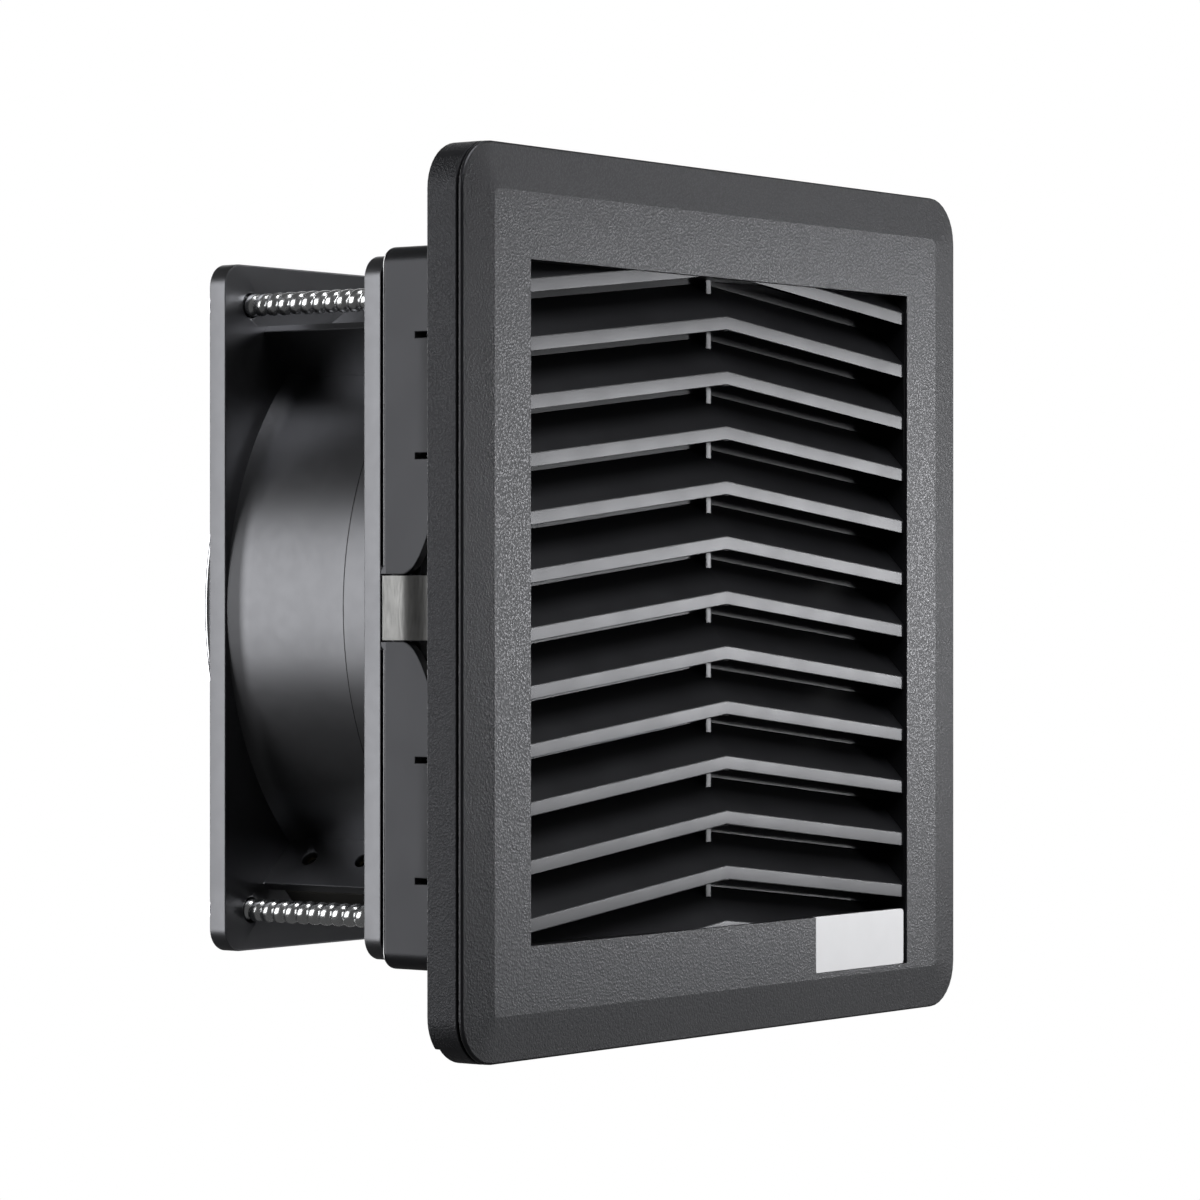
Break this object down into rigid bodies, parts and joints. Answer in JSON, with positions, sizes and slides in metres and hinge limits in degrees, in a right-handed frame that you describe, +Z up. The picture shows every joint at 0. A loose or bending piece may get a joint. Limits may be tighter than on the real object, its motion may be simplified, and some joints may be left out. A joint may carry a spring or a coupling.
{
  "type": "cabinet filter fan",
  "caption": "Square snap-in filter fan for a cabinet wall: chevron louvre front, filter mat, collar with spring clips, boxed axial fan and wire finger guard.",
  "frame": {"origin": "on the fan axis, in the plane of the cabinet wall that the flange rests on", "axes": "+Y into the cabinet along the fan axis, +Z up, +X to the right as seen from the front"},
  "size_m": [0.1508, 0.0741, 0.1508],
  "materials": {
    "grille_plastic": "black moulded plastic with a fine leather grain",
    "frame_plastic": "black moulded plastic, grained flange and smooth collar",
    "fan_casting": "cast aluminium with satin black paint",
    "impeller_plastic": "satin black moulded plastic",
    "guard_chrome": "bright chrome plated wire",
    "screw_chrome": "bright plated steel",
    "spring_steel": "rolled spring steel",
    "bearing_steel": "ground steel",
    "lamination": "pressed electrical steel",
    "copper": "enamelled copper wire",
    "contact_brass": "plain brass",
    "insulator": "cream moulded plastic",
    "filter_fibre": "lofted white fibre mat",
    "foam": "closed cell foam",
    "white_plate": "smooth white plastic"
  },
  "bodies": {
    "frame": {"mounting_frame": "frame_plastic", "panel_gasket": "foam", "filter_mat": "filter_fibre", "support_grid": "frame_plastic", "fan_housing": "fan_casting", "stator_core": "lamination", "stator_insulators": "insulator", "stator_windings": "copper", "front_bearing": "bearing_steel", "rear_bearing": "bearing_steel", "preload_washer": "spring_steel", "terminal_block": "insulator", "contact_pins": "contact_brass", "finger_guard": "guard_chrome", "fan_screws": "screw_chrome"},
    "rotor": {"shaft": "bearing_steel", "shaft_clip": "spring_steel", "rotor_cup": "lamination", "rotor_ring": "lamination", "impeller": "impeller_plastic"},
    "grille": {"front_grille": "grille_plastic", "blank_plate": "white_plate"},
    "left_clip": {"left_clip": "spring_steel"},
    "right_clip": {"right_clip": "spring_steel"}
  },
  "joints": [
    {"name": "impeller_spin", "type": "hinge", "parent": "frame", "child": "rotor", "pos_m": [0, 0.04, 0], "axis": [0, 1, 0], "continuous": true},
    {"name": "grille_pull", "type": "slide", "parent": "frame", "child": "grille", "axis": [0, -1, 0], "range_m": [0, 0.05]},
    {"name": "left_clip_flex", "type": "hinge", "parent": "frame", "child": "left_clip", "pos_m": [-0.0603, 0.0207, 0], "axis": [0, 0, 1], "range_deg": [0, 6], "stiffness_Nm_per_rad": 0.8},
    {"name": "right_clip_flex", "type": "hinge", "parent": "frame", "child": "right_clip", "pos_m": [0.0603, 0.0207, 0], "axis": [0, 0, -1], "range_deg": [0, 6], "stiffness_Nm_per_rad": 0.8}
  ]
}
